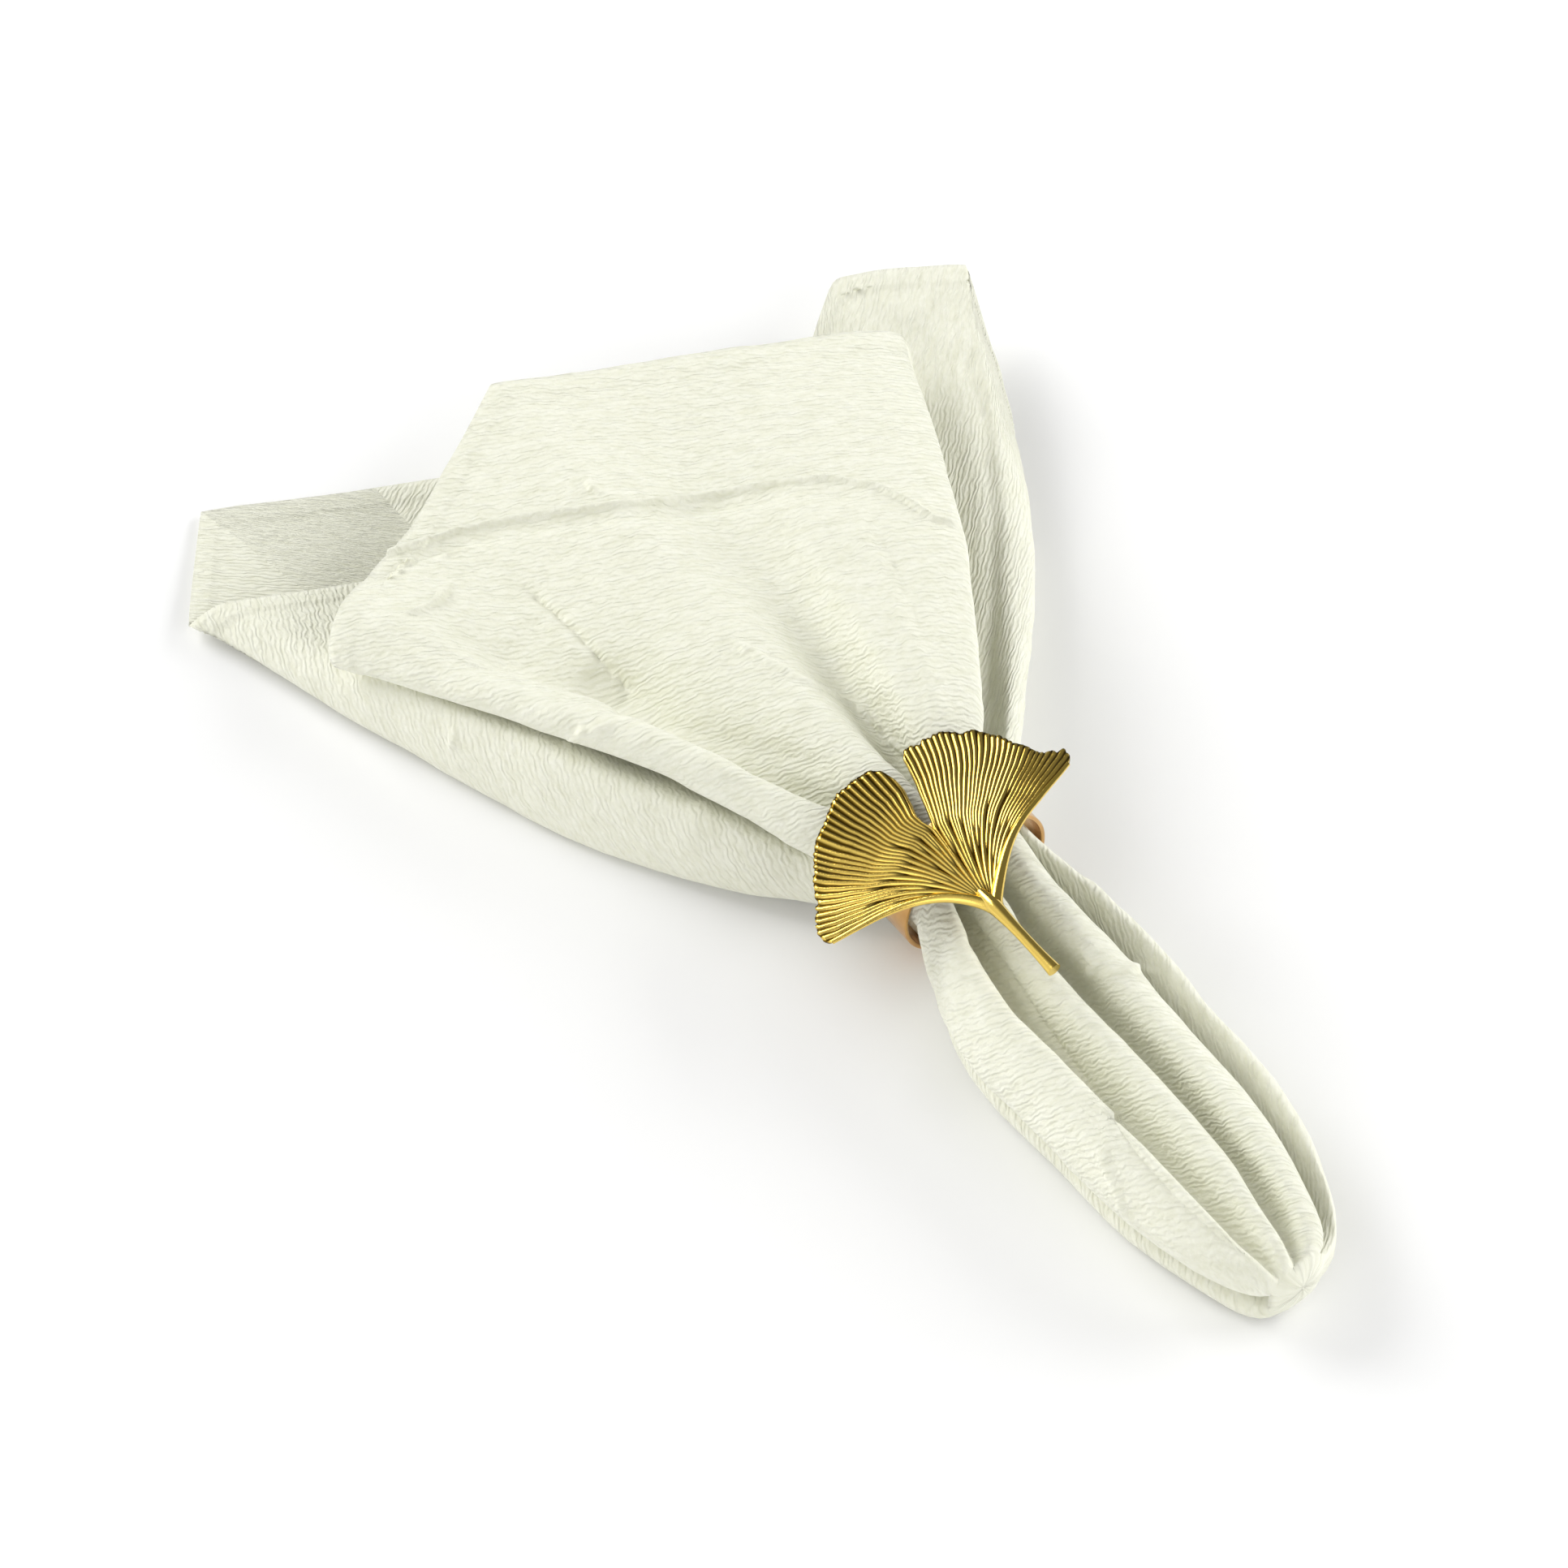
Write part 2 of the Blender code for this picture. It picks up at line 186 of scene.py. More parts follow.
# A row for each fold, crest, valley or corner that runs along the cloth, going once round it.
# Columns: name, across and height in the loop, in the ring and in the fan, the end of the line
# on the hem (across, along, height), how softly the cloth turns, and the steps to the next row.
FOLDS = [
    ("base_left", -13.0, 0.5, -5.0, 2.9, -28.0, 0.5, -32.0, 166.0, 1.2, 8.0, 6),
    ("corner_left", -18.5, 0.7, -9.0, 4.9, -41.0, 0.6, -66.0, 183.0, 1.4, 2.0, 6),
    ("edge_left", -22.4, 3.4, -12.2, 8.0, -50.5, 2.6, -85.5, 157.5, 3.4, 3.0, 10),
    ("side_top", -17.0, 6.8, -9.0, 11.2, -43.5, 19.4, -79.0, 154.2, 8.4, 4.0, 12),
    ("side_in", -9.0, 6.0, 1.0, 8.4, -20.0, 10.5, -55.0, 140.4, 10.5, 9.0, 6),
    ("tuck_left", 7.0, 6.8, 8.4, 9.6, 42.0, 7.4, 45.0, 100.0, 8.0, 2.0, 6),
    ("tuck_back", -10.0, 8.6, -3.0, 11.8, -19.0, 15.2, -38.0, 112.0, 12.5, 9.0, 12),
    ("roll_left", -24.3, 12.0, -15.2, 17.0, -39.8, 22.6, -70.5, 120.5, 15.5, 5.0, 12),
    ("crest_1", -17.8, 26.5, -10.4, 29.4, -36.0, 30.8, -64.0, 129.0, 21.5, 4.0, 18),
    ("valley_1", -13.0, 16.4, -7.5, 19.0, -27.0, 21.5, -38.0, 140.0, 19.0, 4.0, 24),
    ("crest_2", -5.2, 26.4, -3.1, 32.6, -6.5, 32.0, -5.5, 157.6, 24.5, 5.0, 18),
    ("valley_2", -0.2, 14.4, 0.3, 18.0, 7.0, 26.5, 16.0, 146.5, 25.5, 5.0, 22),
    ("crest_3", 4.0, 25.6, 3.9, 32.4, 18.0, 35.0, 43.0, 130.5, 28.5, 6.0, 22),
    ("crest_4", 9.0, 24.0, 8.8, 30.4, 46.0, 33.0, 72.3, 114.0, 27.0, 5.0, 6),
    ("tuck_upper", 9.8, 16.0, 5.8, 22.5, 24.0, 24.5, 54.0, 104.0, 21.0, 9.0, 4),
    ("tuck_right", -6.0, 11.4, -6.5, 15.4, -20.0, 19.2, -25.0, 108.0, 16.5, 2.0, 4),
    ("tuck_lower", 9.5, 10.6, 6.5, 14.4, 20.0, 15.2, 50.0, 125.0, 14.0, 9.0, 12),
    ("right_rise", 13.4, 14.2, 10.8, 20.0, 47.0, 14.5, 76.5, 142.5, 17.0, 4.0, 14),
    ("right_peak", 17.6, 18.8, 12.8, 25.0, 60.0, 15.0, 100.5, 127.0, 19.5, 3.0, 16),
    ("edge_right", 19.0, 9.0, 15.1, 15.8, 66.5, 8.0, 87.5, 94.0, 8.0, 4.0, 6),
    ("under_right", 15.0, 4.6, 11.8, 8.0, 58.0, 3.8, 74.0, 88.0, 4.4, 4.0, 5),
    ("pleat_top", 0.0, 4.1, 3.0, 6.7, 8.0, 4.6, 10.0, 112.0, 5.0, 9.0, 4),
    ("pleat_left", -16.0, 3.2, -7.0, 6.5, -38.0, 3.6, -45.0, 128.0, 4.4, 1.5, 4),
    ("pleat_under", 0.0, 2.3, 1.0, 4.9, 8.0, 2.5, 10.0, 120.0, 2.9, 9.0, 4),
    ("pleat_right", 12.0, 1.6, 8.8, 5.6, 48.0, 1.7, 60.0, 90.0, 1.9, 1.5, 4),
    ("base_mid", -1.0, 0.5, 2.4, 2.7, 10.0, 0.5, 28.0, 137.0, 0.6, 8.0, 6),
]
# How softly the cloth turns at its own corners, at the hem.
CORNERS = {
    "corner_left": 0.3, "crest_2": 0.8, "right_peak": 0.4, "base_mid": 0.5, "edge_left": 1.5,
}
# The panels of cloth that show, each with its first and last fold, the fold that its crinkle is
# measured from, and the way the crinkle's streaks run, in degrees from the line across it.
PANELS = {
    "side": ("corner_left", "tuck_left", "side_top", 39.0),
    "top": ("tuck_left", "tuck_right", "crest_2", -32.0),
    "right": ("tuck_right", "under_right", "right_rise", 53.0),
    "under": ("under_right", "corner_left", "base_mid", -32.0),
}
# Creases in the cloth: height, width, how ragged, and the points that each follows.
CREASES = [
    (1.2, 0.6, 0.2, [
        (-66.0, 139.0, 19.0), (-55.0, 137.0, 20.5), (-43.2, 134.0, 21.2), (-33.0, 131.2, 21.9),
        (-19.9, 123.8, 24.2), (-7.6, 114.3, 27.5), (3.9, 106.9, 28.1), (15.9, 100.0, 29.5),
        (24.1, 93.9, 32.1), (32.2, 87.6, 33.6), (38.5, 79.1, 34.6), (40.9, 71.1, 35.4),
        (42.2, 64.6, 35.4), (46.5, 60.6, 33.6),
    ]),
    (-0.8, 1.8, 0.1, [
        (-58.0, 132.5, 20.5), (-45.0, 129.8, 21.2), (-34.0, 127.6, 21.9), (-20.9, 120.2, 24.2),
        (-9.0, 110.9, 27.5), (2.6, 103.3, 28.1), (14.4, 96.6, 29.5), (22.5, 90.6, 32.1),
        (30.2, 84.5, 33.6), (35.8, 77.1, 34.6),
    ]),
    (-1.0, 2.2, 0.05, [
        (-60.5, 119.2, 22.4), (-54.1, 101.5, 24.7), (-48.5, 89.0, 26.7), (-41.1, 73.4, 29.1),
        (-33.6, 61.1, 30.6), (-26.8, 52.6, 29.9), (-15.1, 41.9, 24.1), (-8.0, 29.4, 25.8),
    ]),
    (-5.0, 6.5, 0.04, [
        (-52.0, 114.0, 23.6), (-45.0, 97.5, 26.0), (-38.0, 80.0, 28.2), (-32.0, 66.0, 29.8),
        (-27.0, 55.0, 30.0),
    ]),
    (1.2, 3.0, 0.15, [
        (-59.0, 100.6, 21.8), (-53.2, 91.2, 24.3), (-49.2, 82.3, 25.5), (-41.9, 66.7, 27.5),
        (-34.3, 51.8, 29.1), (-25.1, 36.7, 29.7),
    ]),
    (0.7, 0.8, 0.6, [
        (-47.4, 129.5, 21.7), (-42.0, 128.2, 21.6), (-36.6, 127.0, 21.6), (-31.8, 124.9, 22.2),
    ]),
    (1.1, 0.9, 0.6, [
        (-41.5, 120.8, 22.2), (-47.5, 117.2, 23.2), (-51.7, 116.9, 23.5), (-57.3, 118.2, 23.2),
    ]),
    (-1.2, 1.0, 0.5, [
        (-31.1, 111.1, 22.4), (-29.6, 98.4, 23.2), (-29.9, 83.5, 25.0), (-30.7, 70.8, 28.0),
    ]),
    (0.5, 1.2, 0.6, [(-34.5, 108.1, 22.4), (-33.0, 96.4, 23.2), (-33.1, 82.5, 25.0)]),
    (0.75, 0.8, 0.7, [
        (-8.0, 67.8, 29.7), (-3.9, 51.1, 31.6), (3.5, 38.9, 28.0), (5.0, 24.0, 26.0),
    ]),
    (-0.5, 1.5, 0.6, [(-5.8, 68.8, 29.7), (-1.9, 52.6, 31.0), (5.0, 40.2, 27.5)]),
    (0.8, 1.8, 1.0, [
        (29.4, 75.5, 34.9), (25.2, 60.5, 36.1), (18.2, 39.7, 36.2), (14.7, 29.4, 35.5),
        (11.0, 18.0, 34.0),
    ]),
    (-0.6, 1.6, 0.8, [(32.0, 74.0, 34.9), (28.0, 59.5, 36.1), (20.8, 39.7, 36.0)]),
    (0.9, 0.9, 0.5, [(-58.2, 95.3, 12.8), (-62.3, 92.8, 7.5)]),
    (1.1, 0.9, 0.5, [(-46.9, 74.6, 17.5), (-42.8, 69.8, 25.0), (-38.0, 64.6, 29.4)]),
    (0.7, 1.3, 0.7, [(-31.2, 42.3, 25.8), (-37.5, 43.6, 14.0), (-40.2, 44.5, 5.4)]),
    (0.9, 0.9, 0.5, [(-5.2, 123.5, 26.6), (-6.2, 119.0, 27.6), (-4.2, 114.7, 28.0)]),
    (-0.9, 2.4, 0.3, [(79.5, 143.0, 17.6), (77.3, 135.9, 17.6), (74.5, 126.0, 17.3)]),
    (0.9, 1.6, 0.3, [(100.2, 127.4, 19.9), (89.0, 124.0, 18.4), (78.4, 121.7, 17.7)]),
    (0.8, 1.3, 0.9, [(-19.9, -69.9, 25.4), (-16.6, -67.4, 27.8)]),
    (0.6, 1.6, 0.8, [(20.0, -18.0, 20.0), (17.0, -26.0, 23.0), (13.0, -30.0, 25.0)]),
    (0.5, 1.8, 0.9, [(-22.0, -40.0, 16.0), (-21.0, -60.0, 20.0), (-19.0, -84.0, 18.0)]),
    (0.6, 1.4, 0.8, [
        (-24.0, -30.0, 12.0), (-23.5, -52.0, 11.0), (-20.0, -80.0, 10.0), (-14.0, -102.0, 9.0),
    ]),
    (-0.8, 1.1, 0.12, [
        (-7.8, -9.7, 22.4), (-10.3, -24.4, 24.2), (-12.5, -41.7, 22.7), (-13.8, -60.3, 21.0),
        (-18.3, -76.6, 26.0), (-17.7, -89.6, 24.2), (-15.4, -100.8, 21.5), (-12.6, -105.9, 18.9),
    ]),
    (0.9, 0.9, 0.6, [(3.3, -31.8, 25.6), (3.8, -37.1, 25.2), (0.9, -37.9, 22.1)]),
    (1.0, 0.9, 0.5, [(3.8, -39.9, 25.0), (13.7, -38.4, 16.1), (15.9, -44.2, 18.7)]),
    (0.8, 0.9, 0.7, [
        (-19.4, -69.5, 26.2), (-22.4, -72.2, 22.7), (-23.7, -81.3, 15.9), (-23.1, -86.0, 16.4),
    ]),
    (-0.8, 1.6, 0.3, [
        (87.7, 110.5, 18.3), (77.8, 90.8, 16.6), (62.9, 69.1, 15.6), (45.8, 48.4, 16.2),
        (28.3, 28.4, 17.5),
    ]),
    (0.5, 1.3, 0.7, [(12.0, 155.0, 25.5), (22.0, 146.0, 26.5), (34.0, 139.0, 27.5)]),
]

# The cotton: the repeats of each pattern in a metre along and across the streaks, the share of
# each in the relief and in the tone, and the tones from the shaded threads to the raised ones.
# The tone follows the streaks and pulls of the relief, so it is painted shade on the low threads
# and painted light on the raised ones.
STREAK_SCALE = (560.0, 1250.0, 1.0)
PULL_SCALE = (150.0, 460.0, 1.0)
WEAVE_SCALE = (1500.0, 2300.0, 1.0)
CREPE_SCALE = (190.0, 270.0, 1.0)
CREPE_WANDER, CREPE_DETAIL, CREPE_DETAIL_SCALE = 6.5, 1.0, 1.5
CREPE_SHARE, STREAK_SHARE, PULL_SHARE, WEAVE_SHARE = 0.22, 0.45, 0.3, 0.16
RELIEF_SHADE_SHARE = 0.5
COTTON_SHADE_TONES = [(0.3, (0.76, 0.76, 0.61)), (0.52, (0.82, 0.82, 0.69)), (0.75, (0.86, 0.86, 0.75))]
COTTON_RELIEF = {"strength": 0.85, "distance": 0.0007}
COTTON_SURFACE = {
    "Roughness": 0.92, "Specular IOR Level": 0.18, "Sheen Weight": 0.25, "Sheen Roughness": 0.55,
}

# The sewing thread.
TWIST_SCALE = 2600.0
THREAD_TONES = [(0.3, (0.80, 0.80, 0.66)), (0.8, (0.90, 0.90, 0.80))]
THREAD_RELIEF = {"strength": 0.5, "distance": 0.0002}
THREAD_ROUGHNESS = 0.7

# The gold: its clouds and its fine polishing grain, how much of the tone comes from the clouds and
# from the painted shade in the grooves, and the tones of leaf and ring where they are bright and
# where they are deep; the leaf's deep tone is the painted shade that its grooves take on.
CLOUD_SCALE, CLOUD_SHARE = 120.0, 0.35
GROOVE_SHADE_SHARE = 0.75
GRAIN_SCALE, GRAIN_STRETCH = 1400.0, (1.0, 3.0, 1.0)
GOLD_STOPS = (0.2, 0.5, 0.75)
BRIGHT_SHARE, DEEP_SHARE = 0.4, 0.6
LEAF_BRIGHT, LEAF_GROOVE_SHADE = (0.90, 0.65, 0.15), (0.11, 0.062, 0.005)
BAND_BRIGHT, BAND_DEEP = (0.86, 0.52, 0.20), (0.55, 0.30, 0.10)
GOLD_ROUGHNESS, GOLD_ROUGHNESS_GAIN = 0.12, 0.12
GOLD_RELIEF = {"strength": 0.25, "distance": 0.0001}

# The setting. The tent's tone is read from how far a direction leans back, up and to the left.
FLOOR_HALF_SIDE = 3000.0
FLOOR_DROP = 0.15
FLOOR_TONE, FLOOR_ROUGHNESS = (0.95, 0.95, 0.95, 1.0), 0.9
TENT_LEAN = {"Y": 0.25, "Z": 0.2, "X": -0.55}
TENT_TONES = [
    (0.0, (0.22, 0.22, 0.22)), (0.14, (0.18, 0.18, 0.17)), (0.34, (0.34, 0.34, 0.33)),
    (0.55, (1.0, 1.0, 1.0)),
]
TENT_STRENGTH = 0.85
# The lamps in metres: place, size, power, and whether the gold mirrors them.
LAMP_AIM = (0.0, 0.03, 0.02)
LAMPS = {
    "window": ((-0.45, 1.4, 0.9), 1.0, 20.0, True),
    "right_fill": ((1.3, -0.3, 0.55), 1.2, 18.0, False),
    "left_fill": ((-1.3, -0.7, 0.5), 1.2, 6.0, True),
    "front_fill": ((0.35, -1.4, 0.9), 1.2, 10.0, False),
}


def new_object(name, mesh_builder, finish):
    """A finished piece: its place is in its mesh, and its sizes go from millimetres to metres."""
    mesh_builder.transform(Matrix.Scale(MM, 4))
    mesh = bpy.data.meshes.new(name)
    mesh_builder.to_mesh(mesh)
    mesh_builder.free()
    mesh.materials.append(finish)
    mesh.shade_smooth()
    piece = bpy.data.objects.new(name, mesh)
    bpy.context.scene.collection.objects.link(piece)
    return piece


def view_axes():
    """The photograph's right, its up, and the way back to its lens."""
    flat = math.cos(VIEW_ELEVATION)
    side, front = math.sin(VIEW_AZIMUTH), math.cos(VIEW_AZIMUTH)
    back = np.array((side * flat, -front * flat, math.sin(VIEW_ELEVATION)))
    right = np.array((front, side, 0.0))
    return right, np.cross(back, right), back


def noise_at(*place):
    """Soft noise, from about -1 to 1, that is the same each run."""
    return noise.noise(Vector(place))


def limited(value):
    """The value kept from 0 to 1."""
    return min(1.0, max(0.0, value))


def hermite(start, end, slope_start, slope_end, share):
    """A cubic from start to end; the slopes are those over the whole step."""
    square, cube = share * share, share * share * share
    return (
        start * (2 * cube - 3 * square + 1)
        + slope_start * (cube - 2 * square + share)
        + end * (3 * square - 2 * cube)
        + slope_end * (cube - square)
    )


# Making the napkin.


def tip_point(row):
    """Where a fold line ends on the oval of the loop's tip."""
    angle = TIP_TURN - row * math.tau / len(FOLDS)
    across, height = TIP_CENTRE
    side, rise = (
        math.copysign(abs(wave) ** TIP_SQUARENESS, wave)
        for wave in (math.cos(angle), math.sin(angle))
    )
    return np.array((across + TIP_HALF_WIDTH * side, TIP_Y, height + TIP_HALF_HEIGHT * rise))


def fold_point(row, part, share):
    """A point of one fold line, at a share of the way along one part of the cloth."""
    _, loop_x, loop_z, ring_x, ring_z, fan_x, fan_z, hem_x, hem_y, hem_z, _, _ = FOLDS[row]
    loop = np.array((loop_x, LOOP_Y, loop_z))
    pinch = np.array((ring_x, -RING_Y, ring_z))
    neck = np.array((ring_x, RING_Y, ring_z))
    fan = np.array((fan_x, FAN_Y, fan_z))
    hem = np.array((hem_x, hem_y, hem_z))
    along = np.array((0.0, 1.0, 0.0))
    if part == "tip":
        tip = tip_point(row)
        turn = share * math.pi / 2
        point = tip + (loop - tip) * math.sin(turn)
        point[1] = LOOP_Y + (TIP_Y - LOOP_Y) * math.cos(turn)
        return point
    if part == "loop":
        step = pinch - loop
        slope_in = step * (LOOP_FLARE, 1.0, LOOP_FLARE)
        point = hermite(loop, pinch, along * step[1], slope_in, share)
        point[0] *= 1 + LOOP_BELLY * math.sin(math.pi * share) ** 2
        return point
    if part == "ring":
        return pinch + (neck - pinch) * share
    to_fan, to_hem = fan - neck, hem - fan
    through = (hem - neck) / 2
    if part == "neck":
        return hermite(neck, fan, to_fan * (NECK_FLARE, 1.0, NECK_FLARE), through, share)
    if part == "spread":
        share *= 1 - HEM_ROWS[0] / np.linalg.norm(to_hem)
    else:
        share = 1 - share / np.linalg.norm(to_hem)
    return hermite(fan, hem, through, to_hem, share)


def held(point):
    """The point kept inside the ring where it passes through, and on the surface below."""
    centre = np.array((0.0, point[1], RING_OUTER_RADIUS))
    out = point - centre
    reach = CLOTH_REACH_IN_RING + CLOTH_REACH_GAIN * max(0.0, abs(point[1]) - RING_Y)
    length = np.linalg.norm(out)
    if length > reach:
        point = centre + out * (reach / length)
    point[2] = max(point[2], CLOTH_LOWEST)
    return point


def slope_at(corners, row, reach, part, share):
    """The way the cloth runs where it turns over a fold, and how far it keeps to it."""
    name, softness = FOLDS[row][0], FOLDS[row][-2]
    if name in CORNERS and part in ("spread", "hem"):
        near_hem = share**3 if part == "spread" else 1.0
        softness += (CORNERS[name] - softness) * near_hem
    way = corners[(row + 1) % len(corners)] - corners[row - 1]
    return way / np.linalg.norm(way) * min(softness * TURN_REACH, reach)


def section(part, share):
    """The closed line of points across the whole cloth at one station."""
    count = len(FOLDS)
    corners = [fold_point(row, part, share) for row in range(count)]
    points = []
    for row in range(count):
        following = (row + 1) % count
        start, end = corners[row], corners[following]
        reach = np.linalg.norm(end - start)
        leaving = slope_at(corners, row, reach, part, share)
        arriving = slope_at(corners, following, reach, part, share)
        steps = FOLDS[row][-1]
        points += [held(hermite(start, end, leaving, arriving, i / steps)) for i in range(steps)]
    return points


def outward(cloth):
    """Unit normals of the closed grid of points."""
    around = np.roll(cloth, -1, 1) - np.roll(cloth, 1, 1)
    along = np.gradient(cloth, axis=0)
    normal = np.cross(along, around)
    return normal / (np.linalg.norm(normal, axis=2, keepdims=True) + 1e-9)


def distance_to(line, points):
    """Each point's distance to a line of points, its place along it, and the line's length."""
    best = np.full(len(points), np.inf)
    place = np.zeros(len(points))
    done = 0.0
    for start, end in zip(line, line[1:]):
        step = end - start
        length = np.linalg.norm(step)
        share = np.clip((points - start) @ step / length**2, 0, 1)
        gap = np.linalg.norm(points - start - share[:, None] * step, axis=1)
        nearer = gap < best
        best[nearer] = gap[nearer]
        place[nearer] = done + share[nearer] * length
        done += length
    return best, place, done


def creases_on(sheet):
    """The crease lines let down on the cloth, along the photograph's line of sight."""
    surface = BVHTree.FromBMesh(sheet)
    sight = Vector(view_axes()[2])
    laid = []
    for height, width, ragged, points in CREASES:
        corners = [Vector(point) for point in points]
        fine = [
            start.lerp(end, i / CREASE_STEPS)
            for start, end in zip(corners, corners[1:])
            for i in range(CREASE_STEPS)
        ]
        line = [
            np.array(surface.ray_cast(point + sight * CREASE_START, -sight)[0] or point)
            for point in fine + corners[-1:]
        ]
        laid.append((height, width, ragged, line))
    return laid


def refine_along_creases(sheet, creases):
    """Finer faces beside the sharp creases, eased so that the cloth's curve carries on there."""
    sharp = [line for _, width, _, line in creases if width <= SHARP_CREASE]
    for reach in REFINED_REACHES:
        faces = sheet.faces[:]
        centres = np.array([face.calc_center_median() for face in faces])
        near = np.min([distance_to(line, centres)[0] for line in sharp], axis=0) < reach
        edges = {edge for face, close in zip(faces, near) if close for edge in face.edges}
        cut = bmesh.ops.subdivide_edges(sheet, edges=list(edges), cuts=1, use_grid_fill=True)
        added = [item for item in cut["geom_inner"] if isinstance(item, bmesh.types.BMVert)]
        bmesh.ops.smooth_vert(
            sheet, verts=added, factor=0.5, use_axis_x=True, use_axis_y=True, use_axis_z=True
        )


def crease_lift(points, creases):
    """How far each point of the cloth is raised or sunk, ragged as worn cotton is."""
    lift = np.zeros(len(points))
    for number, (height, width, ragged, line) in enumerate(creases):
        gap, place, length = distance_to(line, points)
        fade = CREASE_FADE + CREASE_FADE_BY_WIDTH * width
        for i in np.nonzero(gap < width * CREASE_REACH)[0]:
            x, y, _ = points[i]
            wobble = noise_at(place[i] * WOBBLE_SCALE, number * WOBBLE_STEP, 0.0)
            fine = noise_at(x * RAGGED_SCALE, y * RAGGED_SCALE, number * RAGGED_STEP)
            ends = min(1.0, place[i] / fade, (length - place[i]) / fade)
            shape = math.exp(-(((gap[i] + wobble * ragged) / width) ** 2))
            lift[i] += height * shape * ends * (1 + ragged * (wobble + fine))
    return lift


def uneven_cloth(cloth, run):
    """Soft waves over the panels, and gathers that run into the ring."""
    normal = outward(cloth)
    moved = cloth.copy()
    for j, i in np.ndindex(cloth.shape[:2]):
        x, y, z = cloth[j, i]
        tight = math.exp(-((y / GATHER_RUN) ** 2))
        free = limited((abs(y) - FREE_FROM) / FREE_OVER)
        wave = WAVE_HEIGHT * noise_at(x * WAVE_SCALE, y * WAVE_SCALE, z * WAVE_RISE_SCALE)
        ripple = RIPPLE_HEIGHT * noise_at(
            x * RIPPLE_SCALE, y * RIPPLE_SCALE, z * RIPPLE_SCALE + RIPPLE_PLACE
        )
        gather = GATHER_HEIGHT * noise_at(
            run[j, i] * GATHER_SCALE, y * GATHER_RUN_SCALE, GATHER_PLACE
        )
        moved[j, i] += normal[j, i] * (wave * free + ripple * free + gather * tight * free)
    moved[..., 2] = np.maximum(moved[..., 2], CLOTH_LOWEST)
    return moved


def crinkle_map(cloth):
    """Each panel's columns and its points' places on the cloth in metres, and the run round it.

    The first axis of a place goes along the crinkle's streaks.
    """
    names = [fold[0] for fold in FOLDS]
    starts = np.concatenate(([0], np.cumsum([fold[-1] for fold in FOLDS])))
    columns = starts[-1]
    closed = np.concatenate((cloth, cloth[:, :1]), axis=1)
    steps = np.linalg.norm(np.diff(closed, axis=1), axis=2)
    run = np.concatenate((np.zeros((len(cloth), 1)), np.cumsum(steps, axis=1)), axis=1)
    maps = []
    for first, last, middle, angle in PANELS.values():
        low, high, home = (starts[names.index(fold)] for fold in (first, last, middle))
        if low > high:
            high += columns
        across = run - run[:, home:home + 1]
        down = closed[..., 1]
        turn = math.radians(angle)
        u = across * math.cos(turn) + down * math.sin(turn)
        v = down * math.cos(turn) - across * math.sin(turn)
        columns_in = {column % columns for column in range(low, high)}
        maps.append((columns_in, np.stack((u, v), axis=2) * MM))
    return maps, run


def lay_cloth(cloth, stations, maps):
    """One sheet through the grid of points, with its crinkle map and the weight of its hem."""
    rows, columns = cloth.shape[:2]
    sheet = bmesh.new()
    bmesh.ops.create_grid(sheet, x_segments=columns, y_segments=rows - 1, size=0.5)
    uv = sheet.loops.layers.uv.new("crinkle")
    weight = sheet.verts.layers.deform.verify()
    place = {
        vert: (round((vert.co.x + 0.5) * columns), round((vert.co.y + 0.5) * (rows - 1)))
        for vert in sheet.verts
    }
    for face in sheet.faces:
        first = min(place[vert][0] for vert in face.verts)
        chart = next(points for inside, points in maps if first in inside)
        for corner in face.loops:
            i, j = place[corner.vert]
            corner[uv].uv = chart[j, i]
    for vert, (i, j) in place.items():
        vert.co = cloth[j, i % columns]
        part, share = stations[j]
        if part == "hem" and share <= HEM_WIDTH:
            vert[weight][0] = 1.0
    bmesh.ops.remove_doubles(sheet, verts=sheet.verts, dist=1e-5)
    return sheet


def close_tip(sheet):
    """The open end of the loop drawn in and filled."""
    rim = [
        edge for edge in sheet.edges
        if edge.is_boundary and max(vert.co.y for vert in edge.verts) < TIP_Y + TIP_RIM_DEPTH
    ]
    for inset, push in TIP_RINGS:
        grown = bmesh.ops.extrude_edge_only(sheet, edges=rim)["geom"]
        ring = [item for item in grown if isinstance(item, bmesh.types.BMVert)]
        rim = [item for item in grown if isinstance(item, bmesh.types.BMEdge)]
        middle = sum((vert.co for vert in ring), Vector()) / len(ring)
        for vert in ring:
            vert.co = middle + (vert.co - middle) * inset + Vector((0.0, push, 0.0))
    bmesh.ops.edgeloop_fill(sheet, edges=rim)


def face_outwards(sheet):
    """Normals made alike, and turned round if the highest point's own looks down."""
    bmesh.ops.recalc_face_normals(sheet, faces=sheet.faces)
    sheet.normal_update()
    if max(sheet.verts, key=lambda vert: vert.co.z).normal.z < 0:
        bmesh.ops.reverse_faces(sheet, faces=sheet.faces)


def press_creases(sheet, creases):
    """The creases pressed into the cloth, except where it faces down."""
    refine_along_creases(sheet, creases)
    sheet.normal_update()
    lifts = crease_lift(np.array([vert.co for vert in sheet.verts]), creases)
    for vert, lift in zip(sheet.verts, lifts):
        vert.co += vert.normal * lift * limited(1 + vert.normal.z / PRESS_FADE)


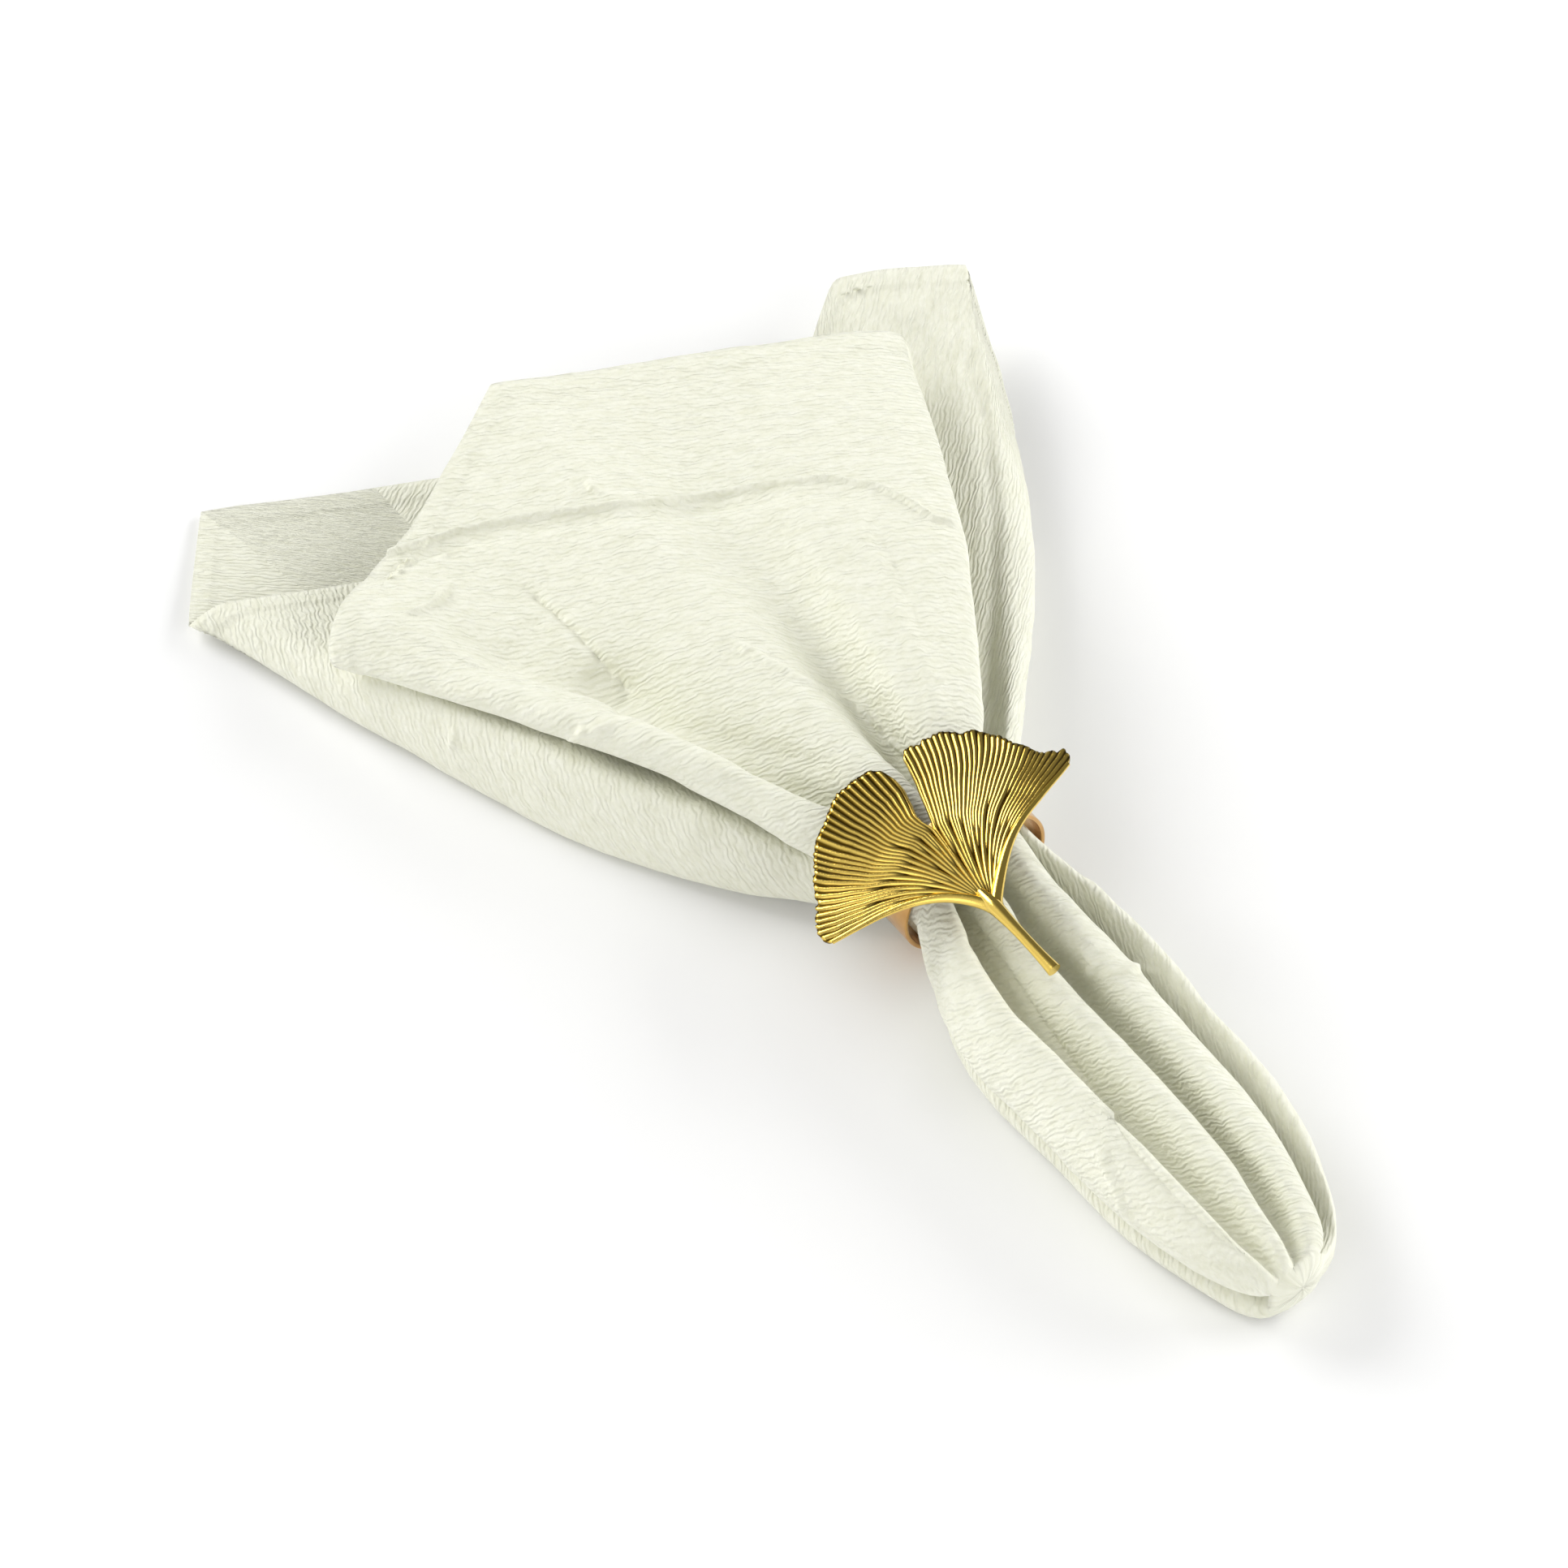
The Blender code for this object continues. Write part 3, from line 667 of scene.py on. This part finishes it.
def build_napkin(finish, thread_finish):
    stations = [
        (part, step / steps) for part, steps in ROWS_ALONG.items() for step in range(steps)
    ]
    stations += [("hem", width) for width in HEM_ROWS]
    cloth = np.array([section(part, share) for part, share in stations])
    maps, run = crinkle_map(cloth)
    cloth = uneven_cloth(cloth, run)
    sheet = lay_cloth(cloth, stations, maps)
    close_tip(sheet)
    face_outwards(sheet)
    creases = creases_on(sheet)
    press_creases(sheet, creases)
    napkin = new_object("napkin_cloth", sheet, finish)
    napkin.vertex_groups.new(name="hem")
    wall = napkin.modifiers.new("cloth and turned hem", "SOLIDIFY")
    wall.thickness = HEM_WALL * MM
    wall.offset = 0.0
    wall.vertex_group = "hem"
    wall.thickness_vertex_group = CLOTH_WALL / HEM_WALL
    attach(napkin, "root")
    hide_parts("napkin")

    row = stations.index(("hem", STITCH_ROW))
    seam = cloth[row] + outward(cloth)[row] * crease_lift(cloth[row], creases)[:, None]
    thread = sew_hem(seam, cloth[row + 1] - cloth[row], thread_finish)


def sew_hem(line, side, finish):
    """A running line of stitches that shows on both faces of the hem."""
    step = np.linalg.norm(np.roll(line, -1, 0) - line, axis=1)
    run = np.concatenate(([0], np.cumsum(step)))
    thread = bmesh.new()
    half_size = (STITCH_LENGTH / 2, STITCH_WIDTH / 2, HEM_WALL / 2 + STITCH_PROUD)
    shape = Matrix.Diagonal((*half_size, 1.0))
    for at in np.arange(STITCH_START, run[-1] - STITCH_PITCH, STITCH_PITCH):
        i = min(np.searchsorted(run, at, side="right") - 1, len(line) - 1)
        share = (at - run[i]) / step[i]
        start, end = line[i], line[(i + 1) % len(line)]
        way = Vector((end - start)).normalized()
        up = way.cross(Vector(side[i])).normalized()
        turn = Matrix((way, up.cross(way), up)).transposed().to_4x4()
        centre = Matrix.Translation(start + (end - start) * share)
        bmesh.ops.create_icosphere(
            thread, subdivisions=1, radius=1.0, matrix=centre @ turn @ shape
        )
    stitches = new_object("hem_stitches", thread, finish)
    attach(stitches, "root")
    return stitches


# Making the ring and the leaf.


def build_ring(finish):
    """A strap's cut with rounded corners, spun once round the ring's centre."""
    ring = bmesh.new()
    bmesh.ops.create_grid(ring, x_segments=1, y_segments=1, size=0.5)
    bmesh.ops.scale(ring, verts=ring.verts, vec=(RING_WALL, RING_WIDTH, 1.0))
    bmesh.ops.bevel(
        ring, geom=ring.verts[:], offset=RING_ROUNDING, affect="VERTICES", segments=4,
        profile=0.5, material=-1,
    )
    bmesh.ops.delete(ring, geom=ring.faces[:], context="FACES_ONLY")
    bmesh.ops.translate(
        ring, verts=ring.verts, vec=(RING_OUTER_RADIUS - RING_WALL / 2, 0.0, 0.0)
    )
    bmesh.ops.spin(
        ring, geom=ring.verts[:] + ring.edges[:], cent=(0, 0, 0), axis=(0, 1, 0),
        angle=math.tau, steps=RING_STEPS, use_merge=True,
    )
    bmesh.ops.remove_doubles(ring, verts=ring.verts, dist=1e-4)
    bmesh.ops.recalc_face_normals(ring, faces=ring.faces)
    bmesh.ops.translate(ring, verts=ring.verts, vec=Vector(RING_CENTRE))
    band = new_object("ring_strap", ring, finish)
    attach(band, "root")
    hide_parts("ring_band")


def leaf_point(across, along, lift):
    """From the leaf's own plane to the world: across and along it, and over it."""
    level = LEAF_LIFT + lift - LEAF_DROOP * (across / LEAF_HALF_WIDTH) ** 2
    side = np.array((math.cos(LEAF_TILT), 0.0, math.sin(LEAF_TILT)))
    out = np.array((-math.sin(LEAF_TILT), 0.0, math.cos(LEAF_TILT)))
    return Vector(RING_CENTRE + side * across + out * level + np.array((0.0, along, 0.0)))


def point_about_node(radius, degrees, lift):
    """A point of the leaf by its radius and angle about the node where its ribs meet."""
    angle = math.radians(degrees)
    across, along = radius * math.cos(angle), radius * math.sin(angle)
    return leaf_point(LEAF_SIDE_SHIFT + across, LEAF_NODE_Y + along, lift)


def read_off(table, place):
    """The value at a place in a table of pairs, in a straight line from each to the next."""
    return float(np.interp(place, *zip(*table)))


def lobe_angle(side, radius, share_over):
    """Degrees about the node: share_over 0 is the cleft's edge, and 1 the lower edge."""
    cleft, lower = (read_off(edges[side], radius) for edges in (CLEFT_EDGES, LOWER_EDGES))
    return cleft + (lower - cleft) * share_over


def radius_at(side, over, share):
    """The radius at a share of the way from the root out to the frilled edge."""
    angle = lobe_angle(side, LEAF_REACH, over)
    frill = sum(height * noise_at(angle * fine, place, 0.0) for height, fine, place in FRILLS)
    return LEAF_ROOT + (read_off(OUTER_EDGES[side], angle) + frill - LEAF_ROOT) * share


def rib_shape(phase, radius, gap, side):
    """How far up a rib's rounded side a point lies, from 0 in the groove to 1 on the crest.

    Every fourth rib starts at the node, and the ones between branch off further out.
    """
    best = 0.0
    for number in (math.floor(phase), math.floor(phase) + 1):
        chance = noise_at(number * 1.7, LOBE_CHANCE[side][0], 0.5)
        start = RIB_STARTS[number % len(RIB_STARTS)] + RIB_START_CHANCE * chance
        grown = limited((radius - start) / RIB_GROWTH)
        off = abs(phase - number) * gap / RIB_HALF_WIDTH
        best = max(best, grown * math.exp(-off * off))
    return best


def build_blade(side, finish):
    """One lobe of the leaf as a ribbed, frilled sheet with the thickness of a casting."""
    blade = bmesh.new()
    bmesh.ops.create_grid(
        blade, x_segments=RIBS_PER_LOBE * STEPS_PER_RIB, y_segments=BLADE_ROWS, size=0.5
    )
    # The depth of each point in the groove between ribs, kept as the mask for the gold's painted
    # shade there.
    groove = blade.verts.layers.float.new("groove")
    for vert in blade.verts:
        over, share = vert.co.x + 0.5, vert.co.y + 0.5
        radius = radius_at(side, over, share)
        spread = math.radians(abs(lobe_angle(side, radius, 1.0) - lobe_angle(side, radius, 0.0)))
        sway = RIB_SWAY * noise_at(over * RIB_SWAY_OVER, share * RIB_SWAY_OUT, LOBE_CHANCE[side][1])
        phase = over * RIBS_PER_LOBE + sway
        rib = rib_shape(phase, radius, spread / RIBS_PER_LOBE * radius, side)
        depth = RIB_HEIGHT * min(1.0, RIB_LEAST + radius / RIB_FULL_AT)
        depth *= 1 - RIB_EDGE_LOSS * share**RIB_EDGE_POWER
        wave = BLADE_WAVE * share**3 * noise_at(over * BLADE_WAVE_OVER, share, 2.0)
        vert[groove] = 1 - rib
        angle = lobe_angle(side, radius, over)
        vert.co = point_about_node(radius, angle, 2 * depth * (rib - 0.5) + wave)
    bmesh.ops.remove_doubles(blade, verts=blade.verts, dist=0.01)
    bmesh.ops.recalc_face_normals(blade, faces=blade.faces)
    if sum(face.normal.z for face in blade.faces) < 0:
        bmesh.ops.reverse_faces(blade, faces=blade.faces)
    lobe = new_object("leaf_lobe_" + side, blade, finish)
    wall = lobe.modifiers.new("cast wall", "SOLIDIFY")
    wall.thickness = LEAF_WALL * MM
    wall.offset = LEAF_WALL_OFFSET
    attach(lobe, "root")
    return lobe


def swept_rod(name, path, finish):
    """A round rod along (point, radius) pairs, with flat ends."""
    curve = bpy.data.curves.new(name, "CURVE")
    curve.dimensions = "3D"
    curve.bevel_depth = 1.0
    curve.bevel_resolution = 6
    curve.resolution_u = 8
    curve.use_fill_caps = True
    spline = curve.splines.new("NURBS")
    spline.points.add(len(path) - 1)
    for knot, (point, radius) in zip(spline.points, path):
        knot.co = (*(point * MM), 1.0)
        knot.radius = radius * MM
    spline.order_u = 3
    spline.use_endpoint_u = True
    rod = bpy.data.objects.new(name, curve)
    bpy.context.scene.collection.objects.link(rod)
    bpy.context.view_layer.update()
    shown = rod.evaluated_get(bpy.context.evaluated_depsgraph_get())
    mesh = bpy.data.meshes.new_from_object(shown)
    bpy.data.objects.remove(rod)
    mesh.name = name
    mesh.materials.clear()
    mesh.materials.append(finish)
    mesh.shade_smooth()
    mesh.set_sharp_from_angle(angle=ROD_SHARP_ANGLE)
    piece = bpy.data.objects.new(name, mesh)
    bpy.context.scene.collection.objects.link(piece)
    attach(piece, "root")


def build_rim(side, finish):
    """The smooth raised rim along a lobe's lower edge, from the tip in to the stalk."""
    path = []
    for share in np.linspace(1.0, 0.0, RIM_KNOTS):
        radius = radius_at(side, 1.0, share)
        point = point_about_node(radius, lobe_angle(side, radius, 1.0), RIM_LIFT)
        path.append((point, RIM_RADIUS + RIM_GAIN * (1 - share) ** RIM_GAIN_POWER))
    for below, lift, radius in RIM_ENDS:
        path.append((leaf_point(LEAF_SIDE_SHIFT, LEAF_NODE_Y - below, lift), radius))
    swept_rod("leaf_rim_" + side, path, finish)


def build_stalk(finish):
    path = [
        (leaf_point(LEAF_SIDE_SHIFT, LEAF_NODE_Y - share * STALK_LENGTH, lift), radius)
        for share, radius, lift in STALK
    ]
    swept_rod("leaf_stalk", path, finish)


def build_leaf(finish):
    blade = build_blade("left", finish)
    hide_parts("leaf")
    build_blade("right", finish)
    build_rim("left", finish)
    build_rim("right", finish)
    build_stalk(finish)


# Making the finishes.


def new_finish(name):
    finish = bpy.data.materials.new(name)
    finish.use_nodes = True
    nodes, links = finish.node_tree.nodes, finish.node_tree.links
    return finish, nodes, links, nodes["Principled BSDF"]


def scaled(nodes, links, source, scale):
    """Coordinates stretched by a scale on each axis."""
    mapping = nodes.new("ShaderNodeMapping")
    mapping.inputs["Scale"].default_value = scale
    links.new(source, mapping.inputs["Vector"])
    return mapping.outputs["Vector"]


def noise_of(nodes, links, vector, scale, detail, roughness):
    cloud = nodes.new("ShaderNodeTexNoise")
    cloud.inputs["Scale"].default_value = scale
    cloud.inputs["Detail"].default_value = detail
    cloud.inputs["Roughness"].default_value = roughness
    links.new(vector, cloud.inputs["Vector"])
    return cloud.outputs["Fac"]


def crepe_of(nodes, links, vector):
    """Wavy, broken ribs that run along the first axis, as in crepe."""
    ribs = nodes.new("ShaderNodeTexWave")
    ribs.bands_direction = "Y"
    ribs.inputs["Scale"].default_value = 1.0
    ribs.inputs["Distortion"].default_value = CREPE_WANDER
    ribs.inputs["Detail"].default_value = CREPE_DETAIL
    ribs.inputs["Detail Scale"].default_value = CREPE_DETAIL_SCALE
    links.new(vector, ribs.inputs["Vector"])
    return ribs.outputs["Fac"]


def math_of(nodes, links, operation, *values):
    step = nodes.new("ShaderNodeMath")
    step.operation = operation
    for socket, value in zip(step.inputs, values):
        if isinstance(value, (int, float)):
            socket.default_value = value
        else:
            links.new(value, socket)
    return step.outputs["Value"]


def blend_of(nodes, links, *shares):
    """The sum of values, each times its share."""
    total = 0.0
    for value, share in shares:
        total = math_of(nodes, links, "MULTIPLY_ADD", value, share, total)
    return total


def ramp_of(nodes, links, value, stops):
    ramp = nodes.new("ShaderNodeValToRGB")
    while len(ramp.color_ramp.elements) < len(stops):
        ramp.color_ramp.elements.new(0.5)
    for element, (place, colour) in zip(ramp.color_ramp.elements, stops):
        element.position = place
        element.color = (*colour, 1.0)
    links.new(value, ramp.inputs["Fac"])
    return ramp.outputs["Color"]


def raise_surface(nodes, links, shader, height, strength, distance):
    """A bump on the shader from a height."""
    bump = nodes.new("ShaderNodeBump")
    bump.inputs["Strength"].default_value = strength
    bump.inputs["Distance"].default_value = distance
    links.new(height, bump.inputs["Height"])
    links.new(bump.outputs["Normal"], shader.inputs["Normal"])


def crinkled_cotton():
    """Cloth with long streaks, broken crepe ribs, drawn threads and a fine weave, with painted
    shade on its low threads and painted light on its raised ones.
    """
    finish, nodes, links, shader = new_finish("crinkled_cotton_cloth")
    chart = nodes.new("ShaderNodeUVMap")
    chart.uv_map = "crinkle"
    place = chart.outputs["UV"]
    streak = noise_of(nodes, links, scaled(nodes, links, place, STREAK_SCALE), 1.0, 1.5, 0.5)
    pull = noise_of(nodes, links, scaled(nodes, links, place, PULL_SCALE), 1.0, 1.5, 0.5)
    weave = noise_of(nodes, links, scaled(nodes, links, place, WEAVE_SCALE), 1.0, 1.0, 0.6)
    crepe = crepe_of(nodes, links, scaled(nodes, links, place, CREPE_SCALE))
    height = blend_of(
        nodes, links, (crepe, CREPE_SHARE), (streak, STREAK_SHARE), (pull, PULL_SHARE),
        (weave, WEAVE_SHARE),
    )
    raise_surface(nodes, links, shader, height, **COTTON_RELIEF)
    # Painted shade and light: the tone follows the streaks and pulls of the relief, darker on the
    # low threads and lighter on the raised ones.
    tone = blend_of(nodes, links, (streak, RELIEF_SHADE_SHARE), (pull, RELIEF_SHADE_SHARE))
    links.new(ramp_of(nodes, links, tone, COTTON_SHADE_TONES), shader.inputs["Base Color"])
    for socket, value in COTTON_SURFACE.items():
        shader.inputs[socket].default_value = value
    return finish


def hem_thread():
    """Twisted cotton thread."""
    finish, nodes, links, shader = new_finish("cotton_sewing_thread")
    place = nodes.new("ShaderNodeTexCoord").outputs["Object"]
    twist = noise_of(nodes, links, place, TWIST_SCALE, 1.0, 0.5)
    links.new(ramp_of(nodes, links, twist, THREAD_TONES), shader.inputs["Base Color"])
    raise_surface(nodes, links, shader, twist, **THREAD_RELIEF)
    shader.inputs["Roughness"].default_value = THREAD_ROUGHNESS
    return finish


def polished_gold(name, bright, deep, shade_grooves):
    """Gold plate, cloudy as handled metal is, and with painted shade that makes it deeper in the
    grooves between ribs.
    """
    finish, nodes, links, shader = new_finish(name)
    place = nodes.new("ShaderNodeTexCoord").outputs["Object"]
    cloud = noise_of(nodes, links, place, CLOUD_SCALE, 3.0, 0.55)
    stretched = scaled(nodes, links, place, GRAIN_STRETCH)
    grain = noise_of(nodes, links, stretched, GRAIN_SCALE, 2.0, 0.6)
    tone = cloud
    if shade_grooves:
        # Painted shade: the grooves between ribs take the deep tone.
        groove = nodes.new("ShaderNodeAttribute")
        groove.attribute_name = "groove"
        depth = groove.outputs["Fac"]
        tone = blend_of(nodes, links, (cloud, CLOUD_SHARE), (depth, GROOVE_SHADE_SHARE))
    middle = tuple(a * BRIGHT_SHARE + b * DEEP_SHARE for a, b in zip(bright, deep))
    tones = list(zip(GOLD_STOPS, (bright, middle, deep)))
    links.new(ramp_of(nodes, links, tone, tones), shader.inputs["Base Color"])
    shader.inputs["Metallic"].default_value = 1.0
    rough = math_of(nodes, links, "MULTIPLY_ADD", cloud, GOLD_ROUGHNESS_GAIN, GOLD_ROUGHNESS)
    links.new(rough, shader.inputs["Roughness"])
    raise_surface(nodes, links, shader, grain, **GOLD_RELIEF)
    return finish


# Making the setting.


def lay_floor():
    floor = bmesh.new()
    bmesh.ops.create_grid(floor, x_segments=1, y_segments=1, size=FLOOR_HALF_SIDE)
    bmesh.ops.translate(floor, verts=floor.verts, vec=(0, 0, -FLOOR_DROP))
    finish, _, _, shader = new_finish("white_table")
    shader.inputs["Base Color"].default_value = FLOOR_TONE
    shader.inputs["Roughness"].default_value = FLOOR_ROUGHNESS
    table = new_object("table_top", floor, finish)


def hang_light(name, place, size, power, mirrored):
    """A square lamp; one that isn't mirrored lights the cloth without a glare on the gold."""
    light = bpy.data.lights.new(name, "AREA")
    light.size = size
    light.energy = power
    lamp = bpy.data.objects.new(name, light)
    lamp.location = place
    lamp.visible_glossy = mirrored
    lamp.rotation_euler = (Vector(place) - Vector(LAMP_AIM)).to_track_quat("Z", "Y").to_euler()
    bpy.context.scene.collection.objects.link(lamp)


def light_studio():
    """A tent, bright to the left and behind and dim to the right, with a window and three fills."""
    world = bpy.data.worlds.new("studio")
    world.use_nodes = True
    nodes, links = world.node_tree.nodes, world.node_tree.links
    way = nodes.new("ShaderNodeSeparateXYZ")
    links.new(nodes.new("ShaderNodeTexCoord").outputs["Generated"], way.inputs["Vector"])
    leans = [(way.outputs[axis], share) for axis, share in TENT_LEAN.items()]
    tent = ramp_of(nodes, links, blend_of(nodes, links, *leans), TENT_TONES)
    links.new(tent, nodes["Background"].inputs["Color"])
    nodes["Background"].inputs["Strength"].default_value = TENT_STRENGTH
    bpy.context.scene.world = world
    bpy.context.scene.view_settings.view_transform = "Standard"
    for name, (place, size, power, mirrored) in LAMPS.items():
        hang_light(name, place, size, power, mirrored)


def set_camera():
    right, up, back = view_axes()
    reach = VIEW_DISTANCE * SENSOR / LENS
    offset = right * RING_IN_FRAME[0] * reach + up * RING_IN_FRAME[1] * reach
    place = RING_CENTRE + back * VIEW_DISTANCE - offset
    turn = Matrix((right, up, back)).transposed().to_4x4()
    camera = bpy.data.cameras.new("photo_view")
    camera.sensor_width = SENSOR
    camera.lens = LENS
    camera.clip_start = 0.05
    body = bpy.data.objects.new("photo_view", camera)
    body.matrix_world = Matrix.Translation(place * MM) @ turn
    bpy.context.scene.collection.objects.link(body)
    bpy.context.scene.camera = body


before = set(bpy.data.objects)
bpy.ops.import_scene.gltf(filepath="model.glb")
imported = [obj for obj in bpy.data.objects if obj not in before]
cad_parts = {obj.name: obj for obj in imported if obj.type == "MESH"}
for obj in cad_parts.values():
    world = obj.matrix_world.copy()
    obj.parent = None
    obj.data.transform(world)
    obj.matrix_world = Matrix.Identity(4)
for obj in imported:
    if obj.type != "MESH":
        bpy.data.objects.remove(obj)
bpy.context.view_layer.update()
set_camera()
light_studio()
lay_floor()
# The leaf's gold carries painted shade in the grooves between its ribs.
leaf_gold = polished_gold("ribbed_gold_plate", LEAF_BRIGHT, LEAF_GROOVE_SHADE, shade_grooves=True)
ring_gold = polished_gold("warm_gold_plate", BAND_BRIGHT, BAND_DEEP, shade_grooves=False)
build_ring(ring_gold)
build_leaf(leaf_gold)
build_napkin(crinkled_cotton(), hem_thread())
